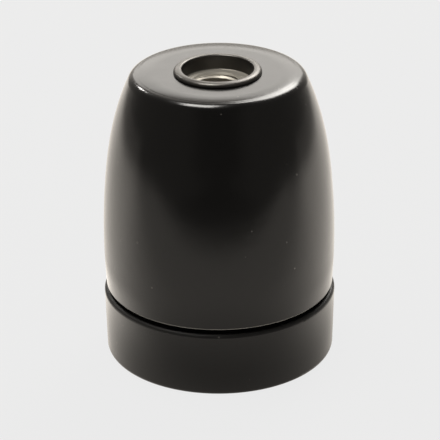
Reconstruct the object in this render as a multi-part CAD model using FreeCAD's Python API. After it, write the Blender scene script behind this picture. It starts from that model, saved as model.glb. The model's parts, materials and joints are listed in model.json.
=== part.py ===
import FreeCAD, Part
import math
import os

# Porcelain lamp holder for a 27 mm screw-cap lamp, standing on its lamp mouth.
# Millimetres. The origin is the centre of the standing rim, +Z runs up to the cable entry and
# +X runs through the two long screws that hold the insert in the dome.

# porcelain insert: ring, cup, floor and posts
BODY_RADIUS = 23.5
RING_DRAFT = 0.3
RING_HEIGHT = 13.5
RING_FOOT_ROUND = 0.9
RING_TOP_ROUND = 0.8
MOUTH_RADIUS = 15.75
MOUTH_DEPTH = 10.0
MOUTH_ROUND = 0.8
SEAT_WIDTH = 2.1
SPIGOT_ROUND = 1.0
FLOOR_THICKNESS = 6.0
POST_RADIUS = 3.2
POST_HEIGHT = 6.0
RIB_THICKNESS = 2.4
RIB_HEIGHT = 4.0
RIB_TO_TERMINAL = 0.7

# porcelain dome
SEAM_GAP = 0.9
DOME_STEP = 0.2
# the side's height as a share, and how far it has drawn in from the widest radius
DOME_SIDE = ((0.0, 0.3), (0.16, 0.0), (0.46, 0.42), (0.75, 2.3), (1.0, 6.25))
DOME_WALL = 3.7
DOME_FOOT_ROUND = 0.4
TOP_THICKNESS = 4.4
TOP_ROUND = 2.3
CAVITY_DRAW_IN = 3.9
CAVITY_BEND_BELOW_FLOOR = 4.0

# threaded cable entry bush, its nut and its washer
BARREL_RADIUS = 8.0
BARREL_CHAMFER = 0.4
LIP_WIDTH = 0.72
LIP_HEIGHT = 0.9
LIP_ROUND = 0.4
CUP_WALL = 0.95
COUNTERBORE_DEPTH = 3.05
CABLE_BORE_RADIUS = 4.5
NUT_WALL = 1.5
NUT_THICKNESS = 2.5
LOCK_WASHER_RIM = 3.2
LOCK_WASHER_THICKNESS = 0.6
LOCK_WASHER_TEETH = 12
GRUB_LENGTH = 4.0
GRUB_SHORT_OF_BORE = 0.25
GRUB_KEY_FLATS = 1.5

# steel yoke that hangs the insert from the bush
YOKE_THICKNESS = 1.2
YOKE_RISE = 9.5
YOKE_DISC_RADIUS = 11.0
YOKE_ARM_WIDTH = 7.0
YOKE_BEND = 0.5
NUT_TO_LEG = 0.63
NUT_TO_LUG = 0.9
FOOT_EDGE = 0.7
EARTH_LUG_DROP = 8.6
EARTH_LUG_WIDTH = 6.4
EARTH_SCREW_EDGE = 2.8

# screw shell: round-crested thread of a 27 mm lamp cap
SHELL_CREST_RADIUS = 13.325
SHELL_THREAD_DEPTH = 1.075
SHELL_PITCH = 3.629
SHELL_TURNS = 5
SHELL_LENGTH = 22.4
SHELL_WALL = 0.35
SHELL_MOUTH_GAP = 0.6
TAB_WIDTH = 4.6
TAB_REACH = 2.125
TABS = ("neutral", "left", "right")

# centre contact leaf: its rivet, its fold and its crest lie along Y
LEAF_THICKNESS = 0.5
LEAF_WIDTH = 5.0
LEAF_RIVET_Y = -6.4
LEAF_PAD_END = 2.3
LEAF_FOLD_Y = -4.2
LEAF_CREST_Y = 0.9
LEAF_CREST_DROP = 4.1
LEAF_TIP_Y = 4.3
LEAF_TIP_DROP = 2.2
LEAF_BEND = 1.0

# terminals
TERMINAL_HALF_WIDTH = 4.2
TERMINAL_THICKNESS = 1.2
TERMINAL_MARGIN = 3.9
CHEEK_THICKNESS = 0.8
CHEEK_HEIGHT = 2.2
CLAMP_HALF = 3.1
CLAMP_THICKNESS = 0.9
CLAMP_CORNER = 0.5
TERMINAL_SHANK = 5.0
BLIND_HOLE_DEPTH = 4.5

# M3 screws, washers and rivets
SCREW_RADIUS = 1.5
HEAD_RADIUS = 2.6
HEAD_HEIGHT = 1.8
HEAD_ROUND = 0.3
SLOT_WIDTH = 0.8
SLOT_DEPTH = 0.9
SHANK_CHAMFER = 0.35
INSERT_SCREW_PROUD = 0.3
LEG_TO_SCREW = 0.3
SPRING_WASHER_RADIUS = 2.6
SPRING_WASHER_THICKNESS = 0.6
SPLIT_WIDTH = 0.3
SPLIT_ANGLE = 25
EARTH_SHANK_PROUD = 1.2
RIVET_RADIUS = 1.1
RIVET_HEAD_RADIUS = 1.9
RIVET_HEAD_HEIGHT = 0.8

# clearances
LOOSE = 0.4
EASY = 0.15
RUNNING = 0.05
THREADED = 0.02
# how far a cutting solid runs past the face that it opens
OVERRUN = 1.0

# heights, from the standing rim up
DOME_FOOT = RING_HEIGHT + SEAM_GAP
SHELL_FOOT = MOUTH_DEPTH + SHELL_MOUTH_GAP
FLOOR_UNDERSIDE = SHELL_FOOT + SHELL_LENGTH
FLOOR_TOP = FLOOR_UNDERSIDE + FLOOR_THICKNESS
TERMINAL_TOP = FLOOR_TOP + TERMINAL_THICKNESS
CLAMP_SEAT = TERMINAL_TOP + RUNNING
POST_TOP = FLOOR_TOP + POST_HEIGHT
FOOT_TOP = POST_TOP + YOKE_THICKNESS
BARREL_FOOT = FOOT_TOP + LOOSE
YOKE_TOP = POST_TOP + YOKE_RISE
YOKE_UNDERSIDE = YOKE_TOP - YOKE_THICKNESS
NUT_FOOT = YOKE_UNDERSIDE - NUT_THICKNESS
TOP_UNDERSIDE = YOKE_TOP + LOCK_WASHER_THICKNESS
HEIGHT = TOP_UNDERSIDE + TOP_THICKNESS
GRUB_Z = (BARREL_FOOT + NUT_FOOT) / 2
EARTH_SCREW_Z = YOKE_TOP - EARTH_LUG_DROP + EARTH_SCREW_EDGE

# radii and places across, from the outside in and from the bush out
RING_FOOT_RADIUS = BODY_RADIUS - RING_DRAFT
DOME_RADIUS = BODY_RADIUS - DOME_STEP
DOME_BORE = DOME_RADIUS - DOME_WALL
SPIGOT_RADIUS = DOME_BORE - LOOSE
CAVITY_TOP_RADIUS = DOME_BORE - CAVITY_DRAW_IN
SHELL_OUTER_RADIUS = SHELL_CREST_RADIUS + SHELL_WALL
SHELL_ROOT_RADIUS = SHELL_CREST_RADIUS - SHELL_THREAD_DEPTH
TAB_RIVET_RADIUS = SHELL_CREST_RADIUS - TAB_REACH
COUNTERBORE_RADIUS = BARREL_RADIUS - CUP_WALL
NUT_ACROSS_FLATS = 2 * (BARREL_RADIUS + NUT_WALL)
LOCK_WASHER_RADIUS = BARREL_RADIUS + LOCK_WASHER_RIM
NUT_CORNER_RADIUS = NUT_ACROSS_FLATS / math.sqrt(3)
YOKE_SPREAD = NUT_CORNER_RADIUS + NUT_TO_LEG + YOKE_THICKNESS
EARTH_LUG_REACH = NUT_ACROSS_FLATS / 2 + NUT_TO_LUG + YOKE_THICKNESS
INSERT_SCREW_X = YOKE_SPREAD - YOKE_THICKNESS - LEG_TO_SCREW - SCREW_RADIUS
RIVET_TO_SCREW = RIVET_HEAD_RADIUS + LOOSE + CLAMP_HALF
LIVE_SCREW_Y = LEAF_RIVET_Y - RIVET_TO_SCREW
NEUTRAL_SCREW_Y = TAB_RIVET_RADIUS - RIVET_TO_SCREW
RIB_BACK_Y = NEUTRAL_SCREW_Y - TERMINAL_MARGIN - RIB_TO_TERMINAL
RECESS_DEPTH = HEAD_HEIGHT + SPRING_WASHER_THICKNESS + LOOSE

UP = FreeCAD.Vector(0, 0, 1)
AXIS = FreeCAD.Vector(0, 0, 0)


def rod(radius, low, high, x=0.0, y=0.0):
    """An upright cylinder between two heights."""
    return Part.makeCylinder(radius, high - low, FreeCAD.Vector(x, y, low))


def sideways_rod(radius, near, far, z):
    """A cylinder along Y, between two places on it, at one height."""
    return Part.makeCylinder(radius, far - near, FreeCAD.Vector(0, near, z), FreeCAD.Vector(0, 1, 0))


def block(x0, x1, y0, y1, z0, z1):
    """A box between two corners."""
    return Part.makeBox(x1 - x0, y1 - y0, z1 - z0, FreeCAD.Vector(x0, y0, z0))


def lathe(edges):
    """Turn a closed outline, drawn in the XZ plane, round the Z axis."""
    outline = Part.Wire(Part.sortEdges(edges)[0])
    return Part.Face(outline).revolve(AXIS, UP, 360)


def lines(points):
    """Straight edges through (radius, height) points."""
    spots = [FreeCAD.Vector(r, 0, z) for r, z in points]
    return [Part.makeLine(a, b) for a, b in zip(spots, spots[1:])]


def turned(points):
    """A turned solid from the corners of its outline."""
    return lathe(lines(list(points) + [points[0]]))


def arc(start, middle, end):
    """An arc through three (radius, height) points."""
    spots = [FreeCAD.Vector(r, 0, z) for r, z in (start, middle, end)]
    return Part.Arc(*spots).toShape()


def rims(solid, radius, height):
    """The round edges of one radius at one height on the Z axis."""
    found = []
    for edge in solid.Edges:
        curve = edge.Curve
        if not isinstance(curve, Part.Circle):
            continue
        if math.hypot(curve.Center.x, curve.Center.y) > 0.001:
            continue
        if abs(curve.Radius - radius) < 0.01 and abs(curve.Center.z - height) < 0.01:
            found.append(edge)
    return found


def round_rims(solid, places):
    """Round each rim, given as radius, height and size."""
    for radius, height, size in places:
        solid = solid.makeFillet(size, rims(solid, radius, height))
    return solid


def chamfer_rims(solid, places):
    """Chamfer each rim, given as radius, height and size."""
    for radius, height, size in places:
        solid = solid.makeChamfer(size, rims(solid, radius, height))
    return solid


def centreline(points, bend):
    """Straight runs joined by tangent bends."""
    edges = []
    start = points[0]
    for corner, after in zip(points[1:], points[2:]):
        arriving = (corner - start).normalize()
        leaving = (after - corner).normalize()
        turn = arriving.getAngle(leaving)
        reach = bend * math.tan(turn / 2)
        inward = (leaving - arriving).normalize()
        middle = corner + inward * (bend / math.cos(turn / 2) - bend)
        entry = corner - arriving * reach
        leave = corner + leaving * reach
        edges.append(Part.makeLine(start, entry))
        edges.append(Part.Arc(entry, middle, leave).toShape())
        start = leave
    edges.append(Part.makeLine(start, points[-1]))
    return Part.Wire(edges)


def strip(points, width, thickness, inner_bend):
    """A folded metal strip that follows the middle of its thickness."""
    path = centreline(points, inner_bend + thickness / 2)
    along = (points[1] - points[0]).normalize()
    plane = (points[1] - points[0]).cross(points[2] - points[1]).normalize()
    across = along.cross(plane)
    corners = []
    for side, face in ((-1, -1), (1, -1), (1, 1), (-1, 1), (-1, -1)):
        corners.append(points[0] + plane * (side * width / 2) + across * (face * thickness / 2))
    return path.makePipeShell([Part.makePolygon(corners)], True, False)


def around(shape, degrees):
    """A copy turned about the Z axis."""
    copy = shape.copy()
    copy.rotate(AXIS, UP, degrees)
    return copy


def tab_angle(name):
    """A shell tab's direction: the neutral one on +Y, the others evenly round from it."""
    return 90 + 360 / len(TABS) * TABS.index(name)


def tab_place(name):
    """Where a shell tab's rivet stands."""
    angle = math.radians(tab_angle(name))
    return TAB_RIVET_RADIUS * math.cos(angle), TAB_RIVET_RADIUS * math.sin(angle)


def socket_insert():
    """Ring, cup, floor and posts in one porcelain piece."""
    seat_radius = SPIGOT_RADIUS + SEAT_WIDTH
    pocket_radius = SHELL_OUTER_RADIUS + LOOSE
    insert = turned((
        (MOUTH_RADIUS, 0),
        (RING_FOOT_RADIUS, 0),
        (BODY_RADIUS, RING_HEIGHT),
        (seat_radius, RING_HEIGHT),
        (seat_radius, DOME_FOOT),
        (SPIGOT_RADIUS, DOME_FOOT),
        (SPIGOT_RADIUS, FLOOR_TOP),
        (0, FLOOR_TOP),
        (0, FLOOR_UNDERSIDE),
        (pocket_radius, FLOOR_UNDERSIDE),
        (pocket_radius, MOUTH_DEPTH),
        (MOUTH_RADIUS, MOUTH_DEPTH),
    ))
    insert = round_rims(insert, (
        (RING_FOOT_RADIUS, 0, RING_FOOT_ROUND),
        (BODY_RADIUS, RING_HEIGHT, RING_TOP_ROUND),
        (MOUTH_RADIUS, 0, MOUTH_ROUND),
        (SPIGOT_RADIUS, FLOOR_TOP, SPIGOT_ROUND),
    ))
    rib_front = RIB_BACK_Y - RIB_THICKNESS
    middle = (FLOOR_UNDERSIDE + FLOOR_TOP) / 2
    insert = insert.fuse([
        rod(POST_RADIUS, middle, POST_TOP, -INSERT_SCREW_X),
        rod(POST_RADIUS, middle, POST_TOP, INSERT_SCREW_X),
        block(-INSERT_SCREW_X, INSERT_SCREW_X, rib_front, RIB_BACK_Y, middle, FLOOR_TOP + RIB_HEIGHT),
    ]).removeSplitter()
    below = FLOOR_UNDERSIDE - OVERRUN
    above = FLOOR_TOP + OVERRUN
    holes = []
    for x in (-INSERT_SCREW_X, INSERT_SCREW_X):
        holes.append(rod(HEAD_RADIUS + LOOSE, below, FLOOR_UNDERSIDE + RECESS_DEPTH, x))
        holes.append(rod(SCREW_RADIUS + EASY, below, POST_TOP + OVERRUN, x))
    for x, y in [tab_place(name) for name in TABS] + [(0, LEAF_RIVET_Y)]:
        holes.append(rod(RIVET_RADIUS + RUNNING, below, above, x, y))
    for y in (LIVE_SCREW_Y, NEUTRAL_SCREW_Y):
        holes.append(rod(SCREW_RADIUS + LOOSE, FLOOR_TOP - BLIND_HOLE_DEPTH, above, 0, y))
    return insert.cut(holes)


def dome_side():
    """The dome's outer side as one smooth curve."""
    tall = HEIGHT - DOME_FOOT
    spots = []
    for share, inset in DOME_SIDE:
        spots.append(FreeCAD.Vector(DOME_RADIUS - inset, 0, DOME_FOOT + share * tall))
    curve = Part.BSplineCurve()
    curve.interpolate(spots)
    return curve.toShape()


def cavity_side(radius, low):
    """An arc that leaves a straight bore and closes in to the cavity's top."""
    rise = TOP_UNDERSIDE - low
    draw_in = radius - CAVITY_TOP_RADIUS
    bend = (draw_in ** 2 + rise ** 2) / (2 * draw_in)
    half = math.asin(rise / bend) / 2
    middle = (radius - bend + bend * math.cos(half), low + bend * math.sin(half))
    return arc((radius, low), middle, (CAVITY_TOP_RADIUS, TOP_UNDERSIDE))


def dome_shell():
    """Tall porcelain dome with the hole for the bush."""
    outer_foot = DOME_RADIUS - DOME_SIDE[0][1]
    outer_top = DOME_RADIUS - DOME_SIDE[-1][1]
    hole = BARREL_RADIUS + EASY
    bend_height = FLOOR_TOP - CAVITY_BEND_BELOW_FLOOR
    edges = [dome_side(), cavity_side(DOME_BORE, bend_height)]
    edges += lines(((outer_top, HEIGHT), (hole, HEIGHT), (hole, TOP_UNDERSIDE)))
    edges += lines(((hole, TOP_UNDERSIDE), (CAVITY_TOP_RADIUS, TOP_UNDERSIDE)))
    edges += lines(((DOME_BORE, bend_height), (DOME_BORE, DOME_FOOT), (outer_foot, DOME_FOOT)))
    return round_rims(lathe(edges), (
        (outer_top, HEIGHT, TOP_ROUND),
        (outer_foot, DOME_FOOT, DOME_FOOT_ROUND),
    ))


def entry_bush():
    """Bush with a rolled lip, a smooth counterbore and a bore for the cable."""
    lip_radius = BARREL_RADIUS + LIP_WIDTH
    lip_top = HEIGHT + LIP_HEIGHT
    ledge = lip_top - COUNTERBORE_DEPTH
    bush = turned((
        (CABLE_BORE_RADIUS, BARREL_FOOT),
        (BARREL_RADIUS, BARREL_FOOT),
        (BARREL_RADIUS, HEIGHT),
        (lip_radius, HEIGHT),
        (lip_radius, lip_top),
        (COUNTERBORE_RADIUS, lip_top),
        (COUNTERBORE_RADIUS, ledge),
        (CABLE_BORE_RADIUS, ledge),
    ))
    bush = round_rims(bush, (
        (lip_radius, lip_top, LIP_ROUND),
        (COUNTERBORE_RADIUS, lip_top, LIP_ROUND),
    ))
    bush = chamfer_rims(bush, ((BARREL_RADIUS, BARREL_FOOT, BARREL_CHAMFER),))
    outside = -BARREL_RADIUS - OVERRUN
    inside = OVERRUN - CABLE_BORE_RADIUS
    return bush.cut(sideways_rod(SCREW_RADIUS + RUNNING, outside, inside, GRUB_Z))


def hexagon(across_flats, low, high):
    """A six-sided prism with corners on X."""
    corner = across_flats / math.sqrt(3)
    spots = []
    for step in range(7):
        angle = math.radians(60 * step)
        spots.append(FreeCAD.Vector(corner * math.cos(angle), corner * math.sin(angle), low))
    return Part.Face(Part.makePolygon(spots)).extrude(UP * (high - low))


def bush_nut():
    """Thin six-sided nut with chamfered corners."""
    flat = NUT_ACROSS_FLATS / 2
    chamfer = (NUT_CORNER_RADIUS - flat) / 2
    envelope = turned((
        (BARREL_RADIUS + THREADED, NUT_FOOT),
        (flat, NUT_FOOT),
        (NUT_CORNER_RADIUS, NUT_FOOT + chamfer),
        (NUT_CORNER_RADIUS, YOKE_UNDERSIDE - chamfer),
        (flat, YOKE_UNDERSIDE),
        (BARREL_RADIUS + THREADED, YOKE_UNDERSIDE),
    ))
    return envelope.common(hexagon(NUT_ACROSS_FLATS, NUT_FOOT, YOKE_UNDERSIDE))


def bush_lock_washer():
    """Lock washer with notches round its edge."""
    low = YOKE_TOP - OVERRUN
    high = TOP_UNDERSIDE + OVERRUN
    washer = rod(LOCK_WASHER_RADIUS, YOKE_TOP, TOP_UNDERSIDE).cut(rod(BARREL_RADIUS + EASY, low, high))
    middle_radius = (LOCK_WASHER_RADIUS + BARREL_RADIUS) / 2
    half_gap = math.pi * LOCK_WASHER_RADIUS / LOCK_WASHER_TEETH / 4
    notch = block(middle_radius, LOCK_WASHER_RADIUS + OVERRUN, -half_gap, half_gap, low, high)
    return washer.cut([around(notch, step * 360 / LOCK_WASHER_TEETH) for step in range(LOCK_WASHER_TEETH)])


def grub_screw():
    """Socket grub screw that points at the cable bore."""
    tip = -CABLE_BORE_RADIUS - GRUB_SHORT_OF_BORE
    screw = rod(SCREW_RADIUS, 0, GRUB_LENGTH)
    screw = chamfer_rims(screw, ((SCREW_RADIUS, 0, SHANK_CHAMFER),))
    screw = screw.cut(hexagon(GRUB_KEY_FLATS, GRUB_LENGTH - GRUB_KEY_FLATS, GRUB_LENGTH + OVERRUN))
    return tipped(screw, 90, 0, tip, GRUB_Z)


def yoke_bracket():
    """Folded yoke: disc, two legs with tapped feet and the earth lug."""
    middle = YOKE_UNDERSIDE + YOKE_THICKNESS / 2
    foot = POST_TOP + YOKE_THICKNESS / 2
    leg = YOKE_SPREAD - YOKE_THICKNESS / 2
    toe = INSERT_SCREW_X - SCREW_RADIUS - FOOT_EDGE
    frame = strip([
        FreeCAD.Vector(-toe, 0, foot),
        FreeCAD.Vector(-leg, 0, foot),
        FreeCAD.Vector(-leg, 0, middle),
        FreeCAD.Vector(leg, 0, middle),
        FreeCAD.Vector(leg, 0, foot),
        FreeCAD.Vector(toe, 0, foot),
    ], YOKE_ARM_WIDTH, YOKE_THICKNESS, YOKE_BEND)
    lug = EARTH_LUG_REACH - YOKE_THICKNESS / 2
    lug_strip = strip([
        FreeCAD.Vector(0, 0, middle),
        FreeCAD.Vector(0, lug, middle),
        FreeCAD.Vector(0, lug, YOKE_TOP - EARTH_LUG_DROP),
    ], EARTH_LUG_WIDTH, YOKE_THICKNESS, YOKE_BEND)
    yoke = frame.fuse([lug_strip, rod(YOKE_DISC_RADIUS, YOKE_UNDERSIDE, YOKE_TOP)]).removeSplitter()
    holes = [rod(BARREL_RADIUS + EASY, YOKE_UNDERSIDE - OVERRUN, YOKE_TOP + OVERRUN)]
    for x in (-INSERT_SCREW_X, INSERT_SCREW_X):
        holes.append(rod(SCREW_RADIUS + THREADED, POST_TOP - OVERRUN, FOOT_TOP + OVERRUN, x))
    lug_inside = EARTH_LUG_REACH - YOKE_THICKNESS
    holes.append(sideways_rod(
        SCREW_RADIUS + RUNNING, lug_inside - OVERRUN, EARTH_LUG_REACH + OVERRUN, EARTH_SCREW_Z))
    return yoke.cut(holes)


def thread_outline(offset):
    """The shell's round-crested outline, from its foot to its top, at an offset from the inside."""
    half_pitch = SHELL_PITCH / 2
    turn = 2 * math.atan2(SHELL_THREAD_DEPTH, half_pitch)
    round_radius = half_pitch / (2 * math.sin(turn))
    foot = (SHELL_CREST_RADIUS + offset, SHELL_FOOT)
    top = (SHELL_CREST_RADIUS + offset, FLOOR_UNDERSIDE)
    threaded = SHELL_TURNS * SHELL_PITCH
    start = SHELL_FOOT + (SHELL_LENGTH - threaded) / 2
    end = start + threaded

    def spot(step, angle):
        """A point on the round of one half turn, angle measured from its tip."""
        outward = 1 if step % 2 == 0 else -1
        tip = SHELL_CREST_RADIUS if outward > 0 else SHELL_ROOT_RADIUS
        centre = tip - outward * round_radius
        reach = round_radius + outward * offset
        height = start + step * half_pitch
        return centre + outward * reach * math.cos(angle), height + reach * math.sin(angle)

    edges = lines((foot, (foot[0], start)))
    edges.append(arc(spot(0, 0), spot(0, turn / 2), spot(0, turn)))
    for step in range(1, 2 * SHELL_TURNS):
        edges.append(arc(spot(step, -turn), spot(step, 0), spot(step, turn)))
    last = 2 * SHELL_TURNS
    edges.append(arc(spot(last, -turn), spot(last, -turn / 2), spot(last, 0)))
    edges += lines(((top[0], end), top))
    return edges, foot, top


def screw_shell():
    """Thin shell with the lamp's round-crested thread and three riveted tabs."""
    inner, inner_foot, inner_top = thread_outline(0)
    outer, outer_foot, outer_top = thread_outline(SHELL_WALL)
    shell = lathe(inner + outer + lines((inner_foot, outer_foot)) + lines((inner_top, outer_top)))
    low = FLOOR_UNDERSIDE - SHELL_WALL
    tab = block(TAB_RIVET_RADIUS, SHELL_CREST_RADIUS + SHELL_WALL / 4, -TAB_WIDTH / 2, TAB_WIDTH / 2,
                low, FLOOR_UNDERSIDE)
    tab = tab.fuse(rod(TAB_WIDTH / 2, low, FLOOR_UNDERSIDE, TAB_RIVET_RADIUS))
    tab = tab.cut(rod(RIVET_RADIUS, low - OVERRUN, FLOOR_UNDERSIDE + OVERRUN, TAB_RIVET_RADIUS))
    return shell.fuse([around(tab, tab_angle(name)) for name in TABS]).removeSplitter()


def centre_contact():
    """Spring leaf, riveted under the floor, whose crest meets the lamp."""
    middle = FLOOR_UNDERSIDE - LEAF_THICKNESS / 2
    leaf = strip([
        FreeCAD.Vector(0, LEAF_RIVET_Y - LEAF_PAD_END, middle),
        FreeCAD.Vector(0, LEAF_FOLD_Y, middle),
        FreeCAD.Vector(0, LEAF_CREST_Y, middle - LEAF_CREST_DROP),
        FreeCAD.Vector(0, LEAF_TIP_Y, middle - LEAF_TIP_DROP),
    ], LEAF_WIDTH, LEAF_THICKNESS, LEAF_BEND)
    return leaf.cut(rod(RIVET_RADIUS, middle - OVERRUN, middle + OVERRUN, 0, LEAF_RIVET_Y))


def terminal(screw_y, rivet_y):
    """Brass terminal bar with two cheeks that keep its clamp plate square."""
    outward = math.copysign(1, rivet_y - screw_y)
    ends = sorted((screw_y - outward * TERMINAL_MARGIN, rivet_y + outward * (RIVET_HEAD_RADIUS + LOOSE)))
    half = TERMINAL_HALF_WIDTH
    bar = block(-half, half, ends[0], ends[1], FLOOR_TOP, TERMINAL_TOP)
    cheeks = []
    for x in (-half, half - CHEEK_THICKNESS):
        cheeks.append(block(x, x + CHEEK_THICKNESS, screw_y - CLAMP_HALF, screw_y + CLAMP_HALF,
                            FLOOR_TOP, TERMINAL_TOP + CHEEK_HEIGHT))
    bar = bar.fuse(cheeks).removeSplitter()
    low = FLOOR_TOP - OVERRUN
    high = TERMINAL_TOP + OVERRUN
    bar = bar.cut(rod(SCREW_RADIUS + RUNNING, low, high, 0, screw_y))
    return bar.cut(rod(RIVET_RADIUS, low, high, 0, rivet_y))


def clamp_plate():
    """Square clamp plate with rounded corners, lying on the origin."""
    plate = block(-CLAMP_HALF, CLAMP_HALF, -CLAMP_HALF, CLAMP_HALF, 0, CLAMP_THICKNESS)
    uprights = [edge for edge in plate.Edges if edge.BoundBox.ZLength > CLAMP_THICKNESS / 2]
    plate = plate.makeFillet(CLAMP_CORNER, uprights)
    return plate.cut(rod(SCREW_RADIUS + RUNNING, -OVERRUN, CLAMP_THICKNESS + OVERRUN))


def machine_screw(shank):
    """Slotted cheese-head screw: head above the origin, shank below."""
    head = round_rims(rod(HEAD_RADIUS, 0, HEAD_HEIGHT), ((HEAD_RADIUS, HEAD_HEIGHT, HEAD_ROUND),))
    body = chamfer_rims(rod(SCREW_RADIUS, -shank, HEAD_HEIGHT / 2), ((SCREW_RADIUS, -shank, SHANK_CHAMFER),))
    reach = HEAD_RADIUS + OVERRUN
    half_slot = SLOT_WIDTH / 2
    slot = block(-reach, reach, -half_slot, half_slot, HEAD_HEIGHT - SLOT_DEPTH, HEAD_HEIGHT + OVERRUN)
    return head.fuse(body).removeSplitter().cut(slot)


def rivet(x, y, low, high):
    """Rivet with a low round head at each end of its grip."""
    bend = (RIVET_HEAD_RADIUS ** 2 + RIVET_HEAD_HEIGHT ** 2) / (2 * RIVET_HEAD_HEIGHT)
    half = math.asin(RIVET_HEAD_RADIUS / bend) / 2
    reach = bend * math.sin(half)
    sag = bend - bend * math.cos(half)
    top = high + RIVET_HEAD_HEIGHT
    bottom = low - RIVET_HEAD_HEIGHT
    edges = [
        arc((RIVET_HEAD_RADIUS, high), (reach, top - sag), (0, top)),
        arc((RIVET_HEAD_RADIUS, low), (reach, bottom + sag), (0, bottom)),
    ]
    edges += lines(((RIVET_HEAD_RADIUS, high), (RIVET_RADIUS, high), (RIVET_RADIUS, low)))
    edges += lines(((RIVET_RADIUS, low), (RIVET_HEAD_RADIUS, low)))
    edges += lines(((0, bottom), (0, top)))
    body = lathe(edges)
    body.translate(FreeCAD.Vector(x, y, 0))
    return body


def moved(shape, x, y, z):
    """A copy moved to its place."""
    copy = shape.copy()
    copy.translate(FreeCAD.Vector(x, y, z))
    return copy


def tipped(shape, degrees, x, y, z):
    """A copy tipped about the X axis, then moved to its place."""
    copy = shape.copy()
    copy.rotate(AXIS, FreeCAD.Vector(1, 0, 0), degrees)
    copy.translate(FreeCAD.Vector(x, y, z))
    return copy


def spring_washer(x):
    """Split washer between an insert screw's head and the porcelain."""
    high = FLOOR_UNDERSIDE + RECESS_DEPTH
    low = high - SPRING_WASHER_THICKNESS
    hole = rod(SCREW_RADIUS + EASY, low - OVERRUN, high + OVERRUN, x)
    half_split = SPLIT_WIDTH / 2
    split = block(-half_split, half_split, 0, SPRING_WASHER_RADIUS + OVERRUN, low - OVERRUN, high + OVERRUN)
    split.rotate(FreeCAD.Vector(0, 0, (low + high) / 2), FreeCAD.Vector(0, 1, 0), SPLIT_ANGLE)
    return rod(SPRING_WASHER_RADIUS, low, high, x).cut([hole, moved(split, x, 0, 0)])


def terminal_set(name, screw_y, rivet_y):
    """One terminal with its clamp plate and its screw."""
    head_seat = CLAMP_SEAT + CLAMP_THICKNESS + RUNNING
    return {
        name + "_terminal": terminal(screw_y, rivet_y),
        name + "_clamp_plate": moved(clamp_plate(), 0, screw_y, CLAMP_SEAT),
        name + "_screw": moved(machine_screw(TERMINAL_SHANK), 0, screw_y, head_seat),
    }


def earth_set():
    """The earth lug's clamp plate and screw."""
    seat = EARTH_LUG_REACH + RUNNING
    shank = CLAMP_THICKNESS + YOKE_THICKNESS + 2 * RUNNING + EARTH_SHANK_PROUD
    return {
        "earth_clamp_plate": tipped(clamp_plate(), -90, 0, seat, EARTH_SCREW_Z),
        "earth_screw": tipped(machine_screw(shank), -90, 0, seat + CLAMP_THICKNESS + RUNNING, EARTH_SCREW_Z),
    }


def insert_fixings():
    """The two long screws that hold the insert, each with its washer."""
    seat = FLOOR_UNDERSIDE + RECESS_DEPTH - SPRING_WASHER_THICKNESS
    shank = FOOT_TOP + INSERT_SCREW_PROUD - seat
    pieces = {}
    for side, x in (("left", -INSERT_SCREW_X), ("right", INSERT_SCREW_X)):
        pieces["insert_screw_" + side] = tipped(machine_screw(shank), 180, x, 0, seat)
        pieces["insert_washer_" + side] = spring_washer(x)
    return pieces


def rivets():
    """The rivets of the shell's tabs and of the centre contact."""
    pieces = {}
    for name in TABS:
        x, y = tab_place(name)
        high = TERMINAL_TOP if name == "neutral" else FLOOR_TOP
        pieces["shell_rivet_" + name] = rivet(x, y, FLOOR_UNDERSIDE - SHELL_WALL, high)
    pieces["centre_contact_rivet"] = rivet(0, LEAF_RIVET_Y, FLOOR_UNDERSIDE - LEAF_THICKNESS, TERMINAL_TOP)
    return pieces


def main():
    os.makedirs("parts", exist_ok=True)
    pieces = {
        "socket_insert": socket_insert(),
        "dome_shell": dome_shell(),
        "entry_bush": entry_bush(),
        "bush_nut": bush_nut(),
        "bush_lock_washer": bush_lock_washer(),
        "grub_screw": grub_screw(),
        "yoke_bracket": yoke_bracket(),
        "screw_shell": screw_shell(),
        "centre_contact": centre_contact(),
    }
    pieces.update(terminal_set("live", LIVE_SCREW_Y, LEAF_RIVET_Y))
    pieces.update(terminal_set("neutral", NEUTRAL_SCREW_Y, TAB_RIVET_RADIUS))
    pieces.update(earth_set())
    pieces.update(insert_fixings())
    pieces.update(rivets())
    for node, shape in pieces.items():
        shape.exportStep("parts/" + node + ".step")


main()
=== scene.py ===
import json
import math

import bmesh
import bpy
from mathutils import Matrix, Quaternion, Vector


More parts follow.
